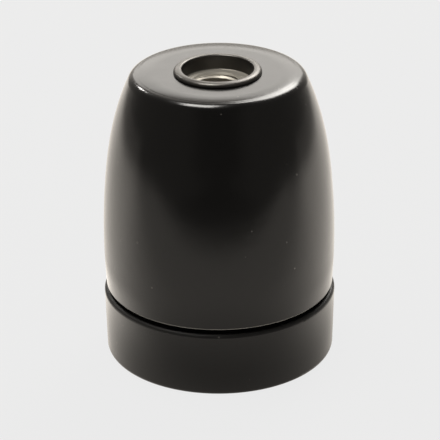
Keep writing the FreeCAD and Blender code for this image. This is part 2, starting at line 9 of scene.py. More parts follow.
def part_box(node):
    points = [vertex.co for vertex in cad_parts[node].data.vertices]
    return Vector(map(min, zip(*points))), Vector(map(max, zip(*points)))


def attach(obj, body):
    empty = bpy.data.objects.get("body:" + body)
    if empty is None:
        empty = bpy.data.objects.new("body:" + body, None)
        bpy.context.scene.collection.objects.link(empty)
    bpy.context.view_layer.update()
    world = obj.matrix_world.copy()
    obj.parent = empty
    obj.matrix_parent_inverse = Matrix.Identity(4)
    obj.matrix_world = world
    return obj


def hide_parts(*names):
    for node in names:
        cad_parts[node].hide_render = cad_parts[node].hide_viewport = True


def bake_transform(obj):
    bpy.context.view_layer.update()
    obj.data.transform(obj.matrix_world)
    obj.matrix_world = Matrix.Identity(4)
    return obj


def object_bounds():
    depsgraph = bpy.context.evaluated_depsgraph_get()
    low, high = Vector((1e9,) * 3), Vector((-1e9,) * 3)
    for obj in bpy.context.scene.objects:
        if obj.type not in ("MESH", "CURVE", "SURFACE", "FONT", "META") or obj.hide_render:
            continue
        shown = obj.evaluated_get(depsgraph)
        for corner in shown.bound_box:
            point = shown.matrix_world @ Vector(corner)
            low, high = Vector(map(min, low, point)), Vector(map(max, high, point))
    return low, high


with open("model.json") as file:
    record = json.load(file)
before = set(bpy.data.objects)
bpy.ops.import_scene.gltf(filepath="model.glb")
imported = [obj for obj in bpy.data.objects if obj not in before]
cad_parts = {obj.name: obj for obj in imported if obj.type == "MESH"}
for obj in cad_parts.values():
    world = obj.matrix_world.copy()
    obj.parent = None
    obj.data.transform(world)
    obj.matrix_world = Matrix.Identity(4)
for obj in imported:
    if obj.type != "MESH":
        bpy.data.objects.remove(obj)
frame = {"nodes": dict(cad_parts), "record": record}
MM = 0.001

bl_info = {
    "name": "Porcelain Lamp Holder",
    "version": (1, 0, 0),
    "blender": (4, 5, 0),
    "location": "View3D > Sidebar > Lamp Holder",
    "description": "Glazed porcelain lamp holder with its thread shell, terminals and cable entry",
    "category": "Object",
}


def listed(corners):
    """A box's corners as plain lists."""
    return [list(corner) for corner in corners]


CAD_BOX = listed(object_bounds())
UP = Vector((0, 0, 1))

# How the meshes are made: corners this near are one, corners this near a rim are on it,
# and faces that meet more sharply than the crease keep a sharp edge.
WELD = 1e-7
ON_RIM = 2e-6
CREASE = math.radians(38)
THREAD_STEPS = 96
HOLE_SEGMENTS = 32
RIVET_HOLE = 1.1 * MM


class LampHolderFinish(bpy.types.PropertyGroup):
    """Colours and surface of the lamp holder."""

    glaze: bpy.props.FloatVectorProperty(
        name="Glaze", description="Colour of the black glaze",
        subtype="COLOR", default=(0.0025, 0.0024, 0.0023), min=0.0, max=1.0)
    # Paler brown of the pits and of the painted highlight along the dome's foot.
    highlight_and_pit_colour: bpy.props.FloatVectorProperty(
        name="Thin glaze", description="Colour where the glaze breaks over an edge",
        subtype="COLOR", default=(0.42, 0.395, 0.35), min=0.0, max=1.0)
    glaze_roughness: bpy.props.FloatProperty(
        name="Glaze roughness", description="How softly the glaze reflects",
        subtype="FACTOR", default=0.19, min=0.0, max=1.0)
    steel: bpy.props.FloatVectorProperty(
        name="Plated steel", description="Colour of the plated steel",
        subtype="COLOR", default=(0.62, 0.6, 0.56), min=0.0, max=1.0)
    bush: bpy.props.FloatVectorProperty(
        name="Bush metal", description="Colour of the dull nickel on the entry bush",
        subtype="COLOR", default=(0.11, 0.106, 0.1), min=0.0, max=1.0)
    bare_metal: bpy.props.FloatVectorProperty(
        name="Bare metal", description="Colour of the machined metal inside the entry bush",
        subtype="COLOR", default=(0.5, 0.47, 0.41), min=0.0, max=1.0)
    brass: bpy.props.FloatVectorProperty(
        name="Brass", description="Colour of the brass",
        subtype="COLOR", default=(0.72, 0.52, 0.22), min=0.0, max=1.0)
    shell_metal: bpy.props.FloatVectorProperty(
        name="Thread metal", description="Colour of the lamp thread's metal",
        subtype="COLOR", default=(0.72, 0.7, 0.66), min=0.0, max=1.0)


class LampHolderSizes(bpy.types.PropertyGroup):
    """Sizes of the pieces that are made here."""

    cap_pitch: bpy.props.FloatProperty(
        name="Lamp thread pitch", description="Advance of the lamp thread in one turn",
        subtype="DISTANCE", unit="LENGTH", default=3.629 * MM)
    cap_crest: bpy.props.FloatProperty(
        name="Lamp thread crest", description="Widest inside radius of the thread metal",
        subtype="DISTANCE", unit="LENGTH", default=13.325 * MM)
    cap_depth: bpy.props.FloatProperty(
        name="Lamp thread depth", description="From the thread's crest to its root",
        subtype="DISTANCE", unit="LENGTH", default=1.075 * MM)
    cap_turns: bpy.props.FloatProperty(
        name="Lamp thread turns", description="Turns of the lamp thread", default=5.0, min=1.0)
    shell_wall: bpy.props.FloatProperty(
        name="Thread metal", description="Thickness of the thread metal",
        subtype="DISTANCE", unit="LENGTH", default=0.35 * MM)
    tab_width: bpy.props.FloatProperty(
        name="Tab width", description="Width of a riveted tab of the thread shell",
        subtype="DISTANCE", unit="LENGTH", default=4.6 * MM)
    cable_root: bpy.props.FloatProperty(
        name="Cable thread root", description="Outer radius of the cable thread in the bush",
        subtype="DISTANCE", unit="LENGTH", default=5.0 * MM)
    fine_pitch: bpy.props.FloatProperty(
        name="Fine pitch", description="Pitch of the bush's two threads",
        subtype="DISTANCE", unit="LENGTH", default=1.0 * MM)
    leaf_thickness: bpy.props.FloatProperty(
        name="Contact leaf", description="Thickness of the centre contact's leaf",
        subtype="DISTANCE", unit="LENGTH", default=0.5 * MM)


class LampHolderStudio(bpy.types.PropertyGroup):
    """Camera, backdrop and lights."""

    backdrop: bpy.props.FloatVectorProperty(
        name="Backdrop", description="Colour of the floor and the backdrop",
        subtype="COLOR", default=(0.829, 0.829, 0.829), min=0.0, max=1.0)
    table_edge: bpy.props.FloatProperty(
        name="Table edge",
        description="How far the pale table reaches in front of the holder's middle",
        subtype="DISTANCE", unit="LENGTH", default=0.117, min=0.03)
    table_level: bpy.props.FloatProperty(
        name="Table level", description="Brightness of the far table in a shiny surface",
        default=1.7, min=0.0)
    room_level: bpy.props.FloatProperty(
        name="Room level", description="Brightness of the dim room in a shiny surface",
        default=0.16, min=0.0)
    fill_level: bpy.props.FloatProperty(
        name="Fill level", description="Even light from all round", default=0.3, min=0.0)
    plain_share: bpy.props.FloatProperty(
        name="Plain share", description="How little of the floor's own light and shadow shows",
        subtype="FACTOR", default=0.97, min=0.0, max=1.0)
    lamp_colour: bpy.props.FloatVectorProperty(
        name="Lamp colour", description="Slightly warm white of the lamps",
        subtype="COLOR", default=(1.0, 0.972, 0.925), min=0.0, max=1.0)
    bounce_colour: bpy.props.FloatVectorProperty(
        name="Bounce colour",
        description="Warm tint of the table and the backdrop in a shiny surface",
        subtype="COLOR", default=(1.03, 0.96, 0.87), min=0.0, max=2.0)
    camera_distance: bpy.props.FloatProperty(
        name="Camera distance", description="From the camera to the middle of the holder",
        subtype="DISTANCE", unit="LENGTH", default=0.45, min=0.1)
    camera_pitch: bpy.props.FloatProperty(
        name="Camera pitch", description="How steeply the camera looks down",
        subtype="ANGLE", unit="ROTATION", default=math.radians(25.1))
    camera_roll: bpy.props.FloatProperty(
        name="Camera roll", description="Lean of the camera about its own line of sight",
        subtype="ANGLE", unit="ROTATION", default=math.radians(0.5))
    camera_lens: bpy.props.FloatProperty(
        name="Lens", description="Focal length in millimetres", default=182.7, min=10.0)


def finish():
    """The finish settings."""
    return bpy.context.scene.lamp_holder_finish


def sizes():
    """Sizes of the made pieces."""
    return bpy.context.scene.lamp_holder_sizes


def studio():
    """The studio settings."""
    return bpy.context.scene.lamp_holder_studio


def middle_of(node):
    """The middle of a solid's box."""
    low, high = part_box(node)
    return (low + high) / 2


def place(radius, height, angle=0.0):
    """A point at a radius, height and angle about the Z axis."""
    return Vector((radius * math.cos(angle), radius * math.sin(angle), height))


def only(parts, kind):
    """The corners or the edges among mixed parts of a mesh."""
    return [part for part in parts if isinstance(part, kind)]


def once(parts):
    """Each part once, in the order in which it first comes."""
    return list(dict.fromkeys(parts))


def corners_of(faces):
    """Each corner of the faces once."""
    return once(vert for face in faces for vert in face.verts)


def chain(bm, points):
    """A chain of edges through the points."""
    verts = [bm.verts.new(point) for point in points]
    return verts + [bm.edges.new(pair) for pair in zip(verts, verts[1:])]


def round_edges(bm, edges, size, segments):
    """Round some edges."""
    bmesh.ops.bevel(bm, geom=edges, offset=size, offset_type="OFFSET", segments=segments,
                    profile=0.5, affect="EDGES", material=-1)


def round_rim(bm, radius, height, size, segments):
    """Round the edge that runs about the Z axis at one radius and height."""
    def on_rim(vert):
        return abs(vert.co.z - height) < ON_RIM and abs(vert.co.xy.length - radius) < ON_RIM

    edges = [edge for edge in bm.edges if all(on_rim(vert) for vert in edge.verts)]
    round_edges(bm, edges, size, segments)


def helix(bm, outline, pitch, low, high, shape=None):
    """Turn a thread's outline into a screw surface cut off flat at both ends.

    The outline holds the (radius, share of the pitch) corners of one pitch. One turn is spun and
    then copied up. Returns the two cut rims.
    """
    turns = math.ceil((high - low) / pitch) + 2
    foot = low - pitch
    geometry = chain(bm, [place(radius, foot + share * pitch) for radius, share in outline])
    before = set(bm.faces)

    def added():
        return [face for face in bm.faces if face not in before]

    bmesh.ops.spin(bm, geom=geometry, cent=(0, 0, 0), axis=UP, dvec=UP * (pitch / THREAD_STEPS),
                   angle=math.tau, steps=THREAD_STEPS, use_merge=False)
    first = added()
    for turn in range(1, turns):
        copy = bmesh.ops.duplicate(bm, geom=first)["geom"]
        bmesh.ops.translate(bm, vec=UP * (pitch * turn), verts=only(copy, bmesh.types.BMVert))
    bmesh.ops.remove_doubles(bm, verts=corners_of(added()), dist=WELD)
    if shape:
        for vert in corners_of(added()):
            vert.co = shape(vert.co)
    rims = []
    for height, way in ((low, -1), (high, 1)):
        parts = once(part for face in added() for part in (face, *face.verts, *face.edges))
        cut = bmesh.ops.bisect_plane(bm, geom=parts, dist=WELD, plane_co=(0, 0, height),
                                     plane_no=(0, 0, way), clear_outer=True)
        rims.append(only(cut["geom_cut"], bmesh.types.BMEdge))
    return rims


def pull(bm, edges, move):
    """Extrude open edges and put each new corner where move says. Returns the new edges."""
    made = bmesh.ops.extrude_edge_only(bm, edges=edges)["geom"]
    corners = set(only(made, bmesh.types.BMVert))
    for vert in corners:
        vert.co = move(vert.co)
    return [edge for edge in only(made, bmesh.types.BMEdge) if corners.issuperset(edge.verts)]


def carry(bm, edges, outline):
    """Carry an open rim through an outline's (radius, height) corners. Returns the last rim."""
    for radius, height in outline:
        edges = pull(bm, edges, lambda spot: place(radius, height, math.atan2(spot.y, spot.x)))
    return edges


def bridge(bm, *rims):
    """Join two open rims, one above the other, with a band of faces."""
    bmesh.ops.bridge_loops(bm, edges=[edge for edges in rims for edge in edges])


def spare_object(name, bm):
    """An object for a cut, made from a mesh that is then free."""
    mesh = bpy.data.meshes.new(name)
    bm.to_mesh(mesh)
    bm.free()
    thing = bpy.data.objects.new(name, mesh)
    bpy.context.scene.collection.objects.link(thing)
    return thing


def drilled(bm, radius, start, end):
    """The mesh with a round hole from one point to another."""
    bmesh.ops.recalc_face_normals(bm, faces=bm.faces)
    blank = spare_object("blank", bm)
    way = end - start
    turn = way.to_track_quat("Z", "Y").to_matrix().to_4x4()
    drill = bmesh.new()
    bmesh.ops.create_cone(drill, cap_ends=True, segments=HOLE_SEGMENTS, radius1=radius,
                          radius2=radius, depth=way.length,
                          matrix=Matrix.Translation((start + end) / 2) @ turn)
    tool = spare_object("drill", drill)
    cut = blank.modifiers.new("hole", "BOOLEAN")
    cut.operation = "DIFFERENCE"
    cut.solver = "EXACT"
    cut.object = tool
    bpy.context.view_layer.update()
    shown = blank.evaluated_get(bpy.context.evaluated_depsgraph_get())
    result = bpy.data.meshes.new_from_object(shown)
    bm = bmesh.new()
    bm.from_mesh(result)
    for thing in (blank, tool):
        mesh = thing.data
        bpy.data.objects.remove(thing)
        bpy.data.meshes.remove(mesh)
    bpy.data.meshes.remove(result)
    return bm


# One pitch of a sixty-degree thread: share of its depth, share of the pitch.
VEE = ((1.0, 0.0), (1.0, 0.125), (0.0, 0.4375), (0.0, 0.6875), (1.0, 1.0))


def vee_thread(root, crest):
    """One pitch of a sixty-degree thread between two radii."""
    return [(root + (crest - root) * share, step) for share, step in VEE]


def finished_piece(name, bm, material, slot, body, *nodes):
    """Close a mesh, put it in the scene and hang it on its body."""
    bmesh.ops.remove_doubles(bm, verts=bm.verts, dist=WELD)
    bmesh.ops.recalc_face_normals(bm, faces=bm.faces)
    mesh = bpy.data.meshes.new(name)
    bm.to_mesh(mesh)
    bm.free()
    mesh.materials.append(material)
    mesh.shade_smooth()
    mesh.set_sharp_from_angle(angle=CREASE)
    piece = bpy.data.objects.new(name, mesh)
    bpy.context.scene.collection.objects.link(piece)
    if body:
        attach(piece, body)
    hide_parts(*nodes)
    return piece


# The metals' turning marks and dull patches: scales of their patterns in Object space.
MARK_SCALE = 700
MARK_SQUEEZE = 14
MARK_HEIGHT = 0.006 * MM
PATCH_SCALE = 420
PATCH_SHADE = 0.86
PATCH_DULLER = 0.06
PATCH_SHINIER = 0.04
NOISE_RANGE = (0.3, 0.7)

# The bush's plating ends this far above its ledge, and bare metal is duller below it.
BARE_BORDER = (0.1 * MM, 0.02 * MM)
BARE_METALLIC = 0.6
BARE_DULLER = 0.1
NICKEL_ROUGHNESS = (0.4, 0.3)

# The glaze's patterns, from the widest to the finest.
CLOUD_SCALE = 90
CLOUD_CHANGE = 0.03
WAVE_SCALE = 160
WAVE_HEIGHT = 0.06 * MM
PIT_SCALE = 250
PIT_SIZE = (0.03, 0.055)
PIT_STRENGTH = 0.3
GRAIN_SCALE = 1400
GRAIN_HEIGHT = 0.004 * MM
GLAZE_IOR = 1.55

# Heights above the dome's foot between which the painted highlight on its edge and the dull joint
# come and go.
FOOT_HIGHLIGHT_COMES = (-0.5 * MM, -0.3 * MM)
FOOT_HIGHLIGHT_GOES = (0.12 * MM, 0.36 * MM)
JOINT_COMES = (-1.8 * MM, -1.3 * MM)
JOINT_GOES = (-0.3 * MM, -0.1 * MM)
JOINT_DULLER = 0.35

# Radii where the outer wall begins, and between which the flat top bends down to its edge.
OUTER_WALL = (22.5 * MM, 22.8 * MM)
CROWN = (12.5 * MM, 15.9 * MM)
CROWN_FALL = 0.32 * MM


class Nodes:
    """Short way to write a node tree."""

    def __init__(self, tree):
        self.tree = tree

    def node(self, kind, **settings):
        """A new node with its settings."""
        made = self.tree.nodes.new(kind)
        for key, value in settings.items():
            setattr(made, key, value)
        return made

    def link(self, source, target):
        """Link one socket to another."""
        self.tree.links.new(source, target)

    def feed(self, socket, value):
        """Set a socket to a number or link it to another socket."""
        if isinstance(value, (int, float)):
            socket.default_value = value
        else:
            self.link(value, socket)

    def math(self, operation, *values):
        """The result of a Math node."""
        made = self.node("ShaderNodeMath", operation=operation)
        for socket, value in zip(made.inputs, values):
            self.feed(socket, value)
        return made.outputs[0]

    def product(self, *values):
        """All the values multiplied together."""
        result = values[0]
        for value in values[1:]:
            result = self.math("MULTIPLY", result, value)
        return result

    def spread(self, value, start, end, low, high, way="LINEAR"):
        """Carry a value from start..end to low..high and hold it level beyond."""
        made = self.node("ShaderNodeMapRange", interpolation_type=way)
        numbers = {"From Min": start, "From Max": end, "To Min": low, "To Max": high}
        for name, number in numbers.items():
            made.inputs[name].default_value = number
        self.link(value, made.inputs["Value"])
        return made.outputs["Result"]

    def ramp(self, value, start, end, low, high):
        """The same with a soft start and a soft end."""
        return self.spread(value, start, end, low, high, "SMOOTHSTEP")

    def between(self, share, first, second):
        """From the first value to the second."""
        return self.math("MULTIPLY_ADD", share, self.math("SUBTRACT", second, first), first)

    def blend(self, share, first, second):
        """From the first colour to the second."""
        made = self.node("ShaderNodeMixRGB")
        for name, colour in (("Color1", first), ("Color2", second)):
            made.inputs[name].default_value = (*colour, 1)
        self.feed(made.inputs["Fac"], share)
        return made.outputs["Color"]

    def split(self, coordinate):
        """The X, Y and Z of a coordinate."""
        space = self.node("ShaderNodeTexCoord")
        made = self.node("ShaderNodeSeparateXYZ")
        self.link(space.outputs[coordinate], made.inputs["Vector"])
        return made.outputs

    def reach(self):
        """Distance from the Z axis."""
        spot = self.split("Object")
        return self.math("SQRT", self.math("ADD", self.math("POWER", spot["X"], 2.0),
                                           self.math("POWER", spot["Y"], 2.0)))


class Sheet(Nodes):
    """A node material."""

    def __init__(self, name):
        self.material = bpy.data.materials.new(name)
        self.material.use_nodes = True
        super().__init__(self.material.node_tree)
        self.shader = self.tree.nodes["Principled BSDF"]

    def object_space(self, scale=(1, 1, 1)):
        """Object coordinates, drawn together along an axis by its scale."""
        space = self.node("ShaderNodeTexCoord")
        mapping = self.node("ShaderNodeMapping")
        mapping.inputs["Scale"].default_value = scale
        self.link(space.outputs["Object"], mapping.inputs["Vector"])
        return mapping.outputs["Vector"]

    def noise(self, vector, scale, detail=2.0):
        """A soft random pattern."""
        made = self.node("ShaderNodeTexNoise")
        made.inputs["Scale"].default_value = scale
        made.inputs["Detail"].default_value = detail
        self.link(vector, made.inputs["Vector"])
        return made.outputs["Fac"]

    def bump(self, height, distance, strength, under=None):
        """A surface raised by a pattern, on top of another one."""
        made = self.node("ShaderNodeBump")
        made.inputs["Strength"].default_value = strength
        made.inputs["Distance"].default_value = distance
        self.link(height, made.inputs["Height"])
        if under:
            self.link(under, made.inputs["Normal"])
        return made.outputs["Normal"]

    def turning_marks(self):
        """Fine marks round the Z axis, as a lathe leaves them."""
        marks = self.noise(self.object_space((1, 1, MARK_SQUEEZE)), MARK_SCALE)
        self.link(self.bump(marks, MARK_HEIGHT, 0.5), self.shader.inputs["Normal"])


def glaze_material():
    """Black porcelain glaze: soft gloss, a faint waviness, a softly crowned face, a few pits.

    It has a painted highlight, a paler brown line, on the dome's foot, and is duller in the joint
    below it.
    """
    sheet = Sheet("black glaze")
    look = finish()
    shader = sheet.shader
    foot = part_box("dome_shell")[0].z
    height = sheet.split("Object")["Z"]
    reach = sheet.reach()
    outside = sheet.spread(reach, *OUTER_WALL, 0, 1)

    def band(comes, goes):
        """One within a band of heights on the outer wall, none outside it."""
        return sheet.product(outside,
                             sheet.spread(height, foot + comes[0], foot + comes[1], 0, 1),
                             sheet.spread(height, foot + goes[0], foot + goes[1], 1, 0))

    # A painted highlight: a paler brown band along the dome's foot.
    edge = band(FOOT_HIGHLIGHT_COMES, FOOT_HIGHLIGHT_GOES)
    joint = band(JOINT_COMES, JOINT_GOES)
    space = sheet.object_space()
    cells = sheet.node("ShaderNodeTexVoronoi")
    cells.inputs["Scale"].default_value = PIT_SCALE
    sheet.link(space, cells.inputs["Vector"])
    pits = sheet.spread(cells.outputs["Distance"], *PIT_SIZE, PIT_STRENGTH, 0)
    # Paler brown for the painted highlight on the foot and for the pits.
    highlight_and_pits = sheet.math("MAXIMUM", edge, pits)
    sheet.link(sheet.blend(highlight_and_pits, look.glaze, look.highlight_and_pit_colour), shader.inputs["Base Color"])
    shader.inputs["IOR"].default_value = GLAZE_IOR
    cloud = sheet.noise(space, CLOUD_SCALE, 3)
    half = look.glaze_roughness
    rough = sheet.spread(cloud, *NOISE_RANGE, half - CLOUD_CHANGE, half + CLOUD_CHANGE)
    sheet.link(sheet.math("MULTIPLY_ADD", joint, JOINT_DULLER, rough), shader.inputs["Roughness"])
    normal = sheet.bump(sheet.noise(space, WAVE_SCALE), WAVE_HEIGHT, 0.5)
    normal = sheet.bump(sheet.noise(space, GRAIN_SCALE, 3), GRAIN_HEIGHT, 0.4, normal)
    crown = sheet.math("POWER", sheet.spread(reach, *CROWN, 0, 1), 2.0)
    sheet.link(sheet.bump(crown, -CROWN_FALL, 1.0, normal), shader.inputs["Normal"])
    return sheet.material


def metal_material(name, colour, roughness):
    """Plated or plain metal with fine turning marks and dull patches."""
    sheet = Sheet(name)
    shader = sheet.shader
    shader.inputs["Metallic"].default_value = 1
    cloud = sheet.noise(sheet.object_space(), PATCH_SCALE, 4)
    patches = sheet.spread(cloud, 0.35, 0.65, 0, 1)
    sheet.link(sheet.blend(patches, [part * PATCH_SHADE for part in colour], colour),
               shader.inputs["Base Color"])
    rough = sheet.spread(cloud, *NOISE_RANGE, roughness + PATCH_DULLER, roughness - PATCH_SHINIER)
    sheet.link(rough, shader.inputs["Roughness"])
    sheet.turning_marks()
    return sheet.material


def bush_material(ledge):
    """Dull nickel outside, bare machined metal on the ledge and the threads below it."""
    look = finish()
    sheet = Sheet("dull nickel")
    shader = sheet.shader
    height = sheet.split("Object")["Z"]
    bare = sheet.spread(height, *(ledge + above for above in BARE_BORDER), 0, 1)
    sheet.link(sheet.blend(bare, look.bush, look.bare_metal), shader.inputs["Base Color"])
    sheet.link(sheet.spread(bare, 0, 1, 1, BARE_METALLIC), shader.inputs["Metallic"])
    cloud = sheet.noise(sheet.object_space(), PATCH_SCALE, 4)
    rough = sheet.spread(cloud, *NOISE_RANGE, *NICKEL_ROUGHNESS)
    sheet.link(sheet.math("MULTIPLY_ADD", bare, BARE_DULLER, rough), shader.inputs["Roughness"])
    sheet.turning_marks()
    return sheet.material


class LAMPHOLDER_OT_finish_solids(bpy.types.Operator):
    """Give each solid of the frame its finish"""

    bl_idname = "lamp_holder.finish_solids"
    bl_label = "Finish the solids"

    def execute(self, context):
        look = finish()
        made = {
            "black_glaze": glaze_material(),
            "plated_steel": metal_material("plated steel", look.steel, 0.26),
            "brass": metal_material("brass", look.brass, 0.3),
            "thread_metal": metal_material("thread metal", look.shell_metal, 0.28),
        }
        for part in frame["record"]["subparts"]:
            node = frame["nodes"][part["node"]]
            node.data.materials.clear()
            node.data.materials.append(made[part["material_slot"]])
        return {"FINISHED"}


# The entry bush: its lip stands out past the barrel, and a counterbore runs down to a ledge.
LIP_WIDTH = 0.72 * MM
LIP_INNER_ROUND = (0.5 * MM, 0.35 * MM)
LIP_OUTER_DROP = 0.72 * MM
CUP_WALL = 0.95 * MM
CUP_DEPTH = 3.05 * MM
CABLE_CREST = 4.5 * MM
CABLE_PLAY = 0.12 * MM
OUTER_THREAD_DEPTH = 0.55 * MM
OUTER_THREAD_START = 2.2 * MM
CORD_SCREW_HOLE = 1.55 * MM

# Plain metal past the ends of the bush's threads, and its chamfers and rounds.
FOOT_LAND = 0.5 * MM
LEDGE_LAND = 0.35 * MM
SEAT_LAND = 0.4 * MM
HAIR = 0.01 * MM
MOUTH_CHAMFER = 0.3 * MM
FOOT_CHAMFERS = (0.4 * MM, 0.3 * MM)
LIP_FOOT_ROUND = 0.1 * MM
LEDGE_ROUND = 0.2 * MM


def rounded_lip(cup, lip_radius, lip_top):
    """Corners of the bush's lip, from the counterbore over its crest to the outer edge."""
    reach, drop = LIP_INNER_ROUND
    corners = []
    for step in range(7):
        angle = math.radians(15 * step)
        corners.append((cup + reach * (1 - math.cos(angle)),
                        lip_top - drop * (1 - math.sin(angle))))
    reach = lip_radius - cup - reach
    for step in range(1, 11):
        angle = math.radians(9 * step)
        corners.append((lip_radius - reach * (1 - math.sin(angle)),
                        lip_top - LIP_OUTER_DROP * (1 - math.cos(angle))))
    return corners


class LAMPHOLDER_OT_entry_bush(bpy.types.Operator):
    """Make the cable entry bush with its two threads"""

    bl_idname = "lamp_holder.entry_bush"
    bl_label = "Cable entry bush"

    def execute(self, context):
        size = sizes()
        low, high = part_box("entry_bush")
        foot = low.z
        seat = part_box("dome_shell")[1].z
        lip_radius = high.x
        barrel = lip_radius - LIP_WIDTH
        outer_root = barrel - OUTER_THREAD_DEPTH
        run_out = seat - OUTER_THREAD_START
        cup = barrel - CUP_WALL
        ledge = high.z - CUP_DEPTH
        mouth = size.cable_root + CABLE_PLAY
        pitch = size.fine_pitch
        metal = bush_material(ledge)
        bm = bmesh.new()
        inner_low, inner_high = helix(bm, vee_thread(size.cable_root, CABLE_CREST), pitch,
                                      foot + FOOT_LAND, ledge - LEDGE_LAND)
        outer_low, outer_high = helix(bm, vee_thread(outer_root, barrel), pitch,
                                      foot + FOOT_LAND, run_out)
        top = carry(bm, inner_high, [
            (mouth, ledge - LEDGE_LAND + HAIR), (mouth + MOUTH_CHAMFER, ledge), (cup, ledge),
            *rounded_lip(cup, lip_radius, high.z),
            (lip_radius, seat), (barrel, seat), (barrel, run_out + SEAT_LAND)])
        bridge(bm, top, outer_high)
        inner_chamfer, outer_chamfer = FOOT_CHAMFERS
        bottom = carry(bm, inner_low, [
            (mouth, foot + FOOT_LAND - 2 * HAIR), (mouth + inner_chamfer, foot),
            (outer_root - outer_chamfer, foot), (outer_root, foot + outer_chamfer)])
        bridge(bm, bottom, outer_low)
        round_rim(bm, lip_radius, seat, LIP_FOOT_ROUND, 3)
        round_rim(bm, cup, ledge, LEDGE_ROUND, 3)
        level = middle_of("grub_screw").z
        bm = drilled(bm, CORD_SCREW_HOLE, Vector((0, -barrel - MM, level)),
                     Vector((0, -2 * MM, level)))
        finished_piece("threaded_entry_bush", bm, metal, "plated_steel", "holder", "entry_bush")
        return {"FINISHED"}


class LAMPHOLDER_OT_thread_shell(bpy.types.Operator):
    """Make the lamp thread's metal shell with its true helix"""

    bl_idname = "lamp_holder.thread_shell"
    bl_label = "Thread shell"

    def execute(self, context):
        size = sizes()
        low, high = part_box("screw_shell")
        crest = size.cap_crest
        threaded = size.cap_turns * size.cap_pitch
        start = low.z + (high.z - low.z - threaded) / 2
        end = start + threaded
        lead_in = 0.5 * size.cap_pitch
        outline = []
        for step in range(17):
            share = step / 16
            wave = (1 - math.cos(math.tau * share)) / 2
            outline.append((crest - size.cap_depth * wave, share))

        def fade(point):
            """Let the thread run out into the plain ends."""
            share = min(point.z - start, end - point.z) / lead_in
            share = min(max(share, 0.0), 1.0)
            share = share * share * (3 - 2 * share)
            radius = point.xy.length
            wanted = crest - (crest - radius) * share
            return Vector((point.x * wanted / radius, point.y * wanted / radius, point.z))

        bm = bmesh.new()
        helix(bm, outline, size.cap_pitch, low.z, high.z, fade)
        bmesh.ops.recalc_face_normals(bm, faces=bm.faces)
        outward = sum(face.normal.dot(Vector((*face.calc_center_median().xy, 0)))
                      for face in bm.faces)
        way = -1 if outward > 0 else 1
        bmesh.ops.solidify(bm, geom=bm.faces[:], thickness=way * size.shell_wall)
        for name in ("neutral", "left", "right"):
            rivet = middle_of("shell_rivet_" + name)
            self.tab(bm, Vector((rivet.x, rivet.y, 0)), high.z, crest + size.shell_wall / 2)
        finished_piece("threaded_screw_shell", bm, bpy.data.materials["thread metal"],
                       "thread_metal", "holder", "screw_shell")
        return {"FINISHED"}

    def tab(self, bm, rivet, top, reach):
        """One tab, round at its rivet, that runs out to the shell's wall."""
        size = sizes()
        half = size.tab_width / 2
        before = set(bm.faces)
        hole = bmesh.ops.create_circle(bm, segments=HOLE_SEGMENTS, radius=RIVET_HOLE)["verts"]
        stretch = reach - rivet.length - half * 0.05

        def outer(spot):
            """Half a circle round the rivet, straight towards the wall."""
            way = spot.normalized() * half
            return Vector((stretch if spot.x > WELD else way.x, way.y, 0))

        pull(bm, once(edge for vert in hole for edge in vert.link_edges), outer)
        flat = [face for face in bm.faces if face not in before]
        turn = Matrix.Rotation(math.atan2(rivet.y, rivet.x), 4, "Z")
        bmesh.ops.transform(bm, matrix=Matrix.Translation(rivet + UP * top) @ turn,
                            verts=corners_of(flat))
        bmesh.ops.recalc_face_normals(bm, faces=flat)
        way = 1 if flat[0].normal.z > 0 else -1
        bmesh.ops.solidify(bm, geom=flat, thickness=way * size.shell_wall)


# The centre contact: where its leaf bends, the (Y, drop) corners of its free end, its round.
LEAF_FOLD = -4.2 * MM
LEAF_FREE_END = ((0.9 * MM, -4.1 * MM), (4.3 * MM, -2.2 * MM))
LEAF_ROUND = 0.9 * MM
LEAF_PAD = 1.5 * MM


class LAMPHOLDER_OT_centre_contact(bpy.types.Operator):
    """Make the centre contact's leaf, which bends at its fold"""

    bl_idname = "lamp_holder.centre_contact"
    bl_label = "Centre contact"

    def execute(self, context):
        size = sizes()
        low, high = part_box("centre_contact")
        rivet = middle_of("centre_contact_rivet").y
        level = high.z - size.leaf_thickness / 2
        bm = bmesh.new()
        path = [(low.y, 0), (LEAF_FOLD, 0), *LEAF_FREE_END]
        line = chain(bm, [(low.x, y, level + drop) for y, drop in path])
        edges = only(line, bmesh.types.BMEdge)
        made = bmesh.ops.extrude_edge_only(bm, edges=edges)["geom"]
        bmesh.ops.translate(bm, vec=(high.x - low.x, 0, 0), verts=only(made, bmesh.types.BMVert))
        round_edges(bm, [edge for edge in bm.edges if len(edge.link_faces) == 2], LEAF_ROUND, 8)
        bmesh.ops.recalc_face_normals(bm, faces=bm.faces)
        bmesh.ops.solidify(bm, geom=bm.faces[:], thickness=size.leaf_thickness)
        heights = [vert.co.z for vert in bm.verts if vert.co.y < LEAF_FOLD - LEAF_PAD]
        bmesh.ops.translate(bm, vec=(0, 0, high.z - max(heights)), verts=bm.verts)
        bm = drilled(bm, RIVET_HOLE, Vector((0, rivet, level - MM)), Vector((0, rivet, level + MM)))
        leaf = finished_piece("centre_contact_leaf", bm, bpy.data.materials["brass"], "brass",
                              None, "centre_contact")
        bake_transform(leaf)
        return {"FINISHED"}


# Each lamp's name, place and size in metres, and its power in watts.
LAMPS = (
    ("back light", (0, 0.56, 0.29), (0.5, 0.25), 0.69),
    ("key light", (0.175, 0.39, 0.45), (0.23, 0.28), 2.0),
    ("overhead light", (-0.12, 0.04, 0.65), (0.22, 0.22), 2.0),
    ("side glint", (-0.31, 0.4, 0.38), (0.045, 0.045), 0.3),
)

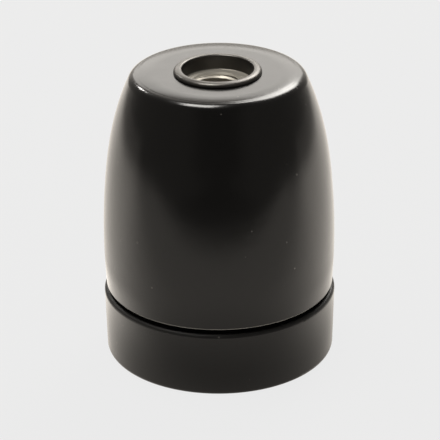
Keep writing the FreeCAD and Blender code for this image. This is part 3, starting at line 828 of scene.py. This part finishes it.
# Distances in metres from the holder's middle between which the table changes as a shiny
# surface shows it. Where there are four numbers, the last two are the levels it goes between.
TABLE_BACKWARDS = (-0.055, 0.02)
TABLE_FRONT_LEVEL = 0.72
TABLE_SIDES = (0.16, 0.36, 1.0, 0.25)
HOLDER_SHADE = (0.026, 0.06, 0.36, 1.0)
BESIDE_REACH = (0.038, 0.052, 1.0, 0.0)
BESIDE_BACKWARDS = (-0.035, 0.0, 0.0, 1.0)
BESIDE_ACROSS = (-0.01, 0.01, 1.5, 0.8)
TABLE_END = (-0.035, 0.03)
ROOM_ON_TABLE = (0.08, 0.2)

# The same for the world, by direction.
WORLD_BACKWARDS = (0.3, 0.85, 0.0, 1.0)
WORLD_SIDES = (0.3, 0.6, 1.0, 0.35)
ROOM_IN_WORLD = (0.25, 0.6)

# The room's share of its level straight ahead and far to the sides.
ROOM_SHARES = (0.7, 1.2)

# Where the camera's distance is measured from, and what it looks at, in metres.
CAMERA_PIVOT = Vector((0, 0, 0.03))
CAMERA_AIM = Vector((0.0002, 0, 0.0274))
FLOOR_RADIUS = 2.0


def area_light(name, spot, size, watts, target):
    """A soft, slightly warm lamp aimed at a point."""
    lamp = bpy.data.lights.new(name, "AREA")
    lamp.shape = "RECTANGLE"
    lamp.size, lamp.size_y = size
    lamp.energy = watts
    lamp.color = studio().lamp_colour
    holder = bpy.data.objects.new(name, lamp)
    holder.location = spot
    holder.rotation_euler = (target - Vector(spot)).to_track_quat("-Z", "Y").to_euler()
    bpy.context.scene.collection.objects.link(holder)


class Rays(Nodes):
    """Nodes that tell what the camera sees from what a shiny surface shows."""

    def __init__(self, tree):
        super().__init__(tree)
        path = self.node("ShaderNodeLightPath")
        self.camera = path.outputs["Is Camera Ray"]
        shiny = self.math("MAXIMUM", path.outputs["Is Glossy Ray"],
                          path.outputs["Is Transmission Ray"])
        self.seen = self.math("MAXIMUM", self.camera, shiny)

    def plain_for_camera(self, level):
        """One for what the camera sees, the level for what a shiny surface shows."""
        change = self.math("SUBTRACT", 1.0, self.camera)
        return self.math("MULTIPLY_ADD", level, change, self.camera)

    def tinted(self, colour):
        """The colour for the camera, a slightly warm one for a shiny surface."""
        warm = [part * share for part, share in zip(colour, studio().bounce_colour)]
        return self.blend(self.camera, warm, colour)


def room(rays, side, start, end):
    """Brightness of the room before the table, a little paler to both sides."""
    level = studio().room_level
    return rays.ramp(side, start, end, *(share * level for share in ROOM_SHARES))


def table_level(rays):
    """Brightness of the table in a shiny surface.

    The table grows paler towards the back, dimmer far out to the sides and in the holder's own
    shade, and paler again in a band beside the holder. Beyond its front edge the room begins.
    """
    setup = studio()
    spot = rays.split("Object")
    front = -setup.table_edge
    side = rays.math("ABSOLUTE", spot["X"])
    reach = rays.reach()
    table = rays.product(
        rays.ramp(spot["Y"], *TABLE_BACKWARDS, TABLE_FRONT_LEVEL, setup.table_level),
        rays.ramp(side, *TABLE_SIDES),
        rays.ramp(reach, *HOLDER_SHADE))
    beside = rays.product(
        rays.ramp(reach, *BESIDE_REACH),
        rays.ramp(spot["Y"], *BESIDE_BACKWARDS),
        rays.ramp(spot["X"], *BESIDE_ACROSS))
    table = rays.math("MULTIPLY_ADD", table, beside, table)
    share = rays.ramp(spot["Y"], *(front + past for past in TABLE_END), 0.0, 1.0)
    return rays.between(share, room(rays, side, *ROOM_ON_TABLE), table)


def backdrop_material(name, colour):
    """Pale table that keeps the holder's shadow; in the glaze it ends where the room begins.

    Only its upper side shows, so that the holder can be looked at from below.
    """
    sheet = Sheet(name)
    sheet.shader.inputs["Base Color"].default_value = (*colour, 1)
    sheet.shader.inputs["Roughness"].default_value = 0.9
    sheet.shader.inputs["Specular IOR Level"].default_value = 0.0
    rays = Rays(sheet.tree)
    glow = sheet.node("ShaderNodeEmission")
    sheet.link(rays.tinted(colour), glow.inputs["Color"])
    sheet.link(rays.plain_for_camera(table_level(rays)), glow.inputs["Strength"])
    mix = sheet.node("ShaderNodeMixShader")
    shadow = rays.math("MULTIPLY", rays.camera, 1 - studio().plain_share)
    sheet.link(rays.math("SUBTRACT", rays.seen, shadow), mix.inputs["Fac"])
    sheet.link(sheet.shader.outputs["BSDF"], mix.inputs[1])
    sheet.link(glow.outputs["Emission"], mix.inputs[2])
    face = sheet.node("ShaderNodeNewGeometry")
    clear = sheet.node("ShaderNodeBsdfTransparent")
    one_sided = sheet.node("ShaderNodeMixShader")
    sheet.link(face.outputs["Backfacing"], one_sided.inputs["Fac"])
    sheet.link(mix.outputs["Shader"], one_sided.inputs[1])
    sheet.link(clear.outputs["BSDF"], one_sided.inputs[2])
    sheet.link(one_sided.outputs["Shader"], sheet.tree.nodes["Material Output"].inputs["Surface"])
    return sheet.material


def world_light(colour):
    """Pale backdrop for what is seen, a dim room in front, plain soft light for the rest."""
    world = bpy.data.worlds.new("studio")
    bpy.context.scene.world = world
    world.use_nodes = True
    rays = Rays(world.node_tree)
    way = rays.split("Generated")
    side = rays.math("ABSOLUTE", way["X"])
    level = rays.between(rays.ramp(way["Y"], *WORLD_BACKWARDS), room(rays, side, *ROOM_IN_WORLD),
                         rays.ramp(side, *WORLD_SIDES))
    shown = rays.node("ShaderNodeVectorMath", operation="SCALE")
    rays.link(rays.tinted(colour), shown.inputs[0])
    rays.link(rays.plain_for_camera(level), shown.inputs["Scale"])
    fill = studio().fill_level
    mix = rays.node("ShaderNodeMixRGB")
    mix.inputs["Color1"].default_value = (fill, fill, fill, 1)
    rays.link(shown.outputs["Vector"], mix.inputs["Color2"])
    rays.link(rays.seen, mix.inputs["Fac"])
    rays.link(mix.outputs["Color"], rays.tree.nodes["Background"].inputs["Color"])


class LAMPHOLDER_OT_stage(bpy.types.Operator):
    """Set up the floor, the lights and the camera"""

    bl_idname = "lamp_holder.stage"
    bl_label = "Stage"

    def execute(self, context):
        setup = studio()
        scene = context.scene
        disc = bmesh.new()
        bmesh.ops.create_circle(disc, cap_ends=True, segments=96, radius=FLOOR_RADIUS)
        mesh = bpy.data.meshes.new("floor")
        disc.to_mesh(mesh)
        disc.free()
        floor = bpy.data.objects.new("floor", mesh)
        mesh.materials.append(backdrop_material("floor", setup.backdrop))
        scene.collection.objects.link(floor)
        world_light(setup.backdrop)
        low, high = (Vector(corner) for corner in CAD_BOX)
        for lamp in LAMPS:
            area_light(*lamp, target=UP * ((high.z - low.z) / 2))
        back = Vector((0, -math.cos(setup.camera_pitch), math.sin(setup.camera_pitch)))
        camera = bpy.data.objects.new("camera", bpy.data.cameras.new("camera"))
        camera.data.lens = setup.camera_lens
        camera.data.sensor_width = 36.0
        camera.data.clip_start = 0.01
        camera.data.clip_end = 10
        camera.location = CAMERA_PIVOT + back * setup.camera_distance
        turn = (CAMERA_AIM - camera.location).to_track_quat("-Z", "Y")
        camera.rotation_mode = "QUATERNION"
        camera.rotation_quaternion = turn @ Quaternion((0, 0, 1), -setup.camera_roll)
        scene.collection.objects.link(camera)
        scene.camera = camera
        scene.view_settings.view_transform = "Standard"
        return {"FINISHED"}


class LAMPHOLDER_PT_panel(bpy.types.Panel):
    """Lists the steps that make the lamp holder"""

    bl_idname = "LAMPHOLDER_PT_panel"
    bl_label = "Lamp Holder"
    bl_space_type = "VIEW_3D"
    bl_region_type = "UI"
    bl_category = "Lamp Holder"

    def draw(self, context):
        for step in STEPS:
            self.layout.operator(step.bl_idname)


STEPS = (
    LAMPHOLDER_OT_finish_solids,
    LAMPHOLDER_OT_entry_bush,
    LAMPHOLDER_OT_thread_shell,
    LAMPHOLDER_OT_centre_contact,
    LAMPHOLDER_OT_stage,
)
CLASSES = (LampHolderFinish, LampHolderSizes, LampHolderStudio, *STEPS, LAMPHOLDER_PT_panel)


def register():
    for kind in CLASSES:
        bpy.utils.register_class(kind)
    bpy.types.Scene.lamp_holder_finish = bpy.props.PointerProperty(type=LampHolderFinish)
    bpy.types.Scene.lamp_holder_sizes = bpy.props.PointerProperty(type=LampHolderSizes)
    bpy.types.Scene.lamp_holder_studio = bpy.props.PointerProperty(type=LampHolderStudio)


def unregister():
    del bpy.types.Scene.lamp_holder_studio
    del bpy.types.Scene.lamp_holder_sizes
    del bpy.types.Scene.lamp_holder_finish
    for kind in reversed(CLASSES):
        bpy.utils.unregister_class(kind)


def main():
    """Make every piece and the stage in order."""
    register()
    for step in STEPS:
        group, name = step.bl_idname.split(".")
        getattr(getattr(bpy.ops, group), name)()


if __name__ == "__main__":
    main()
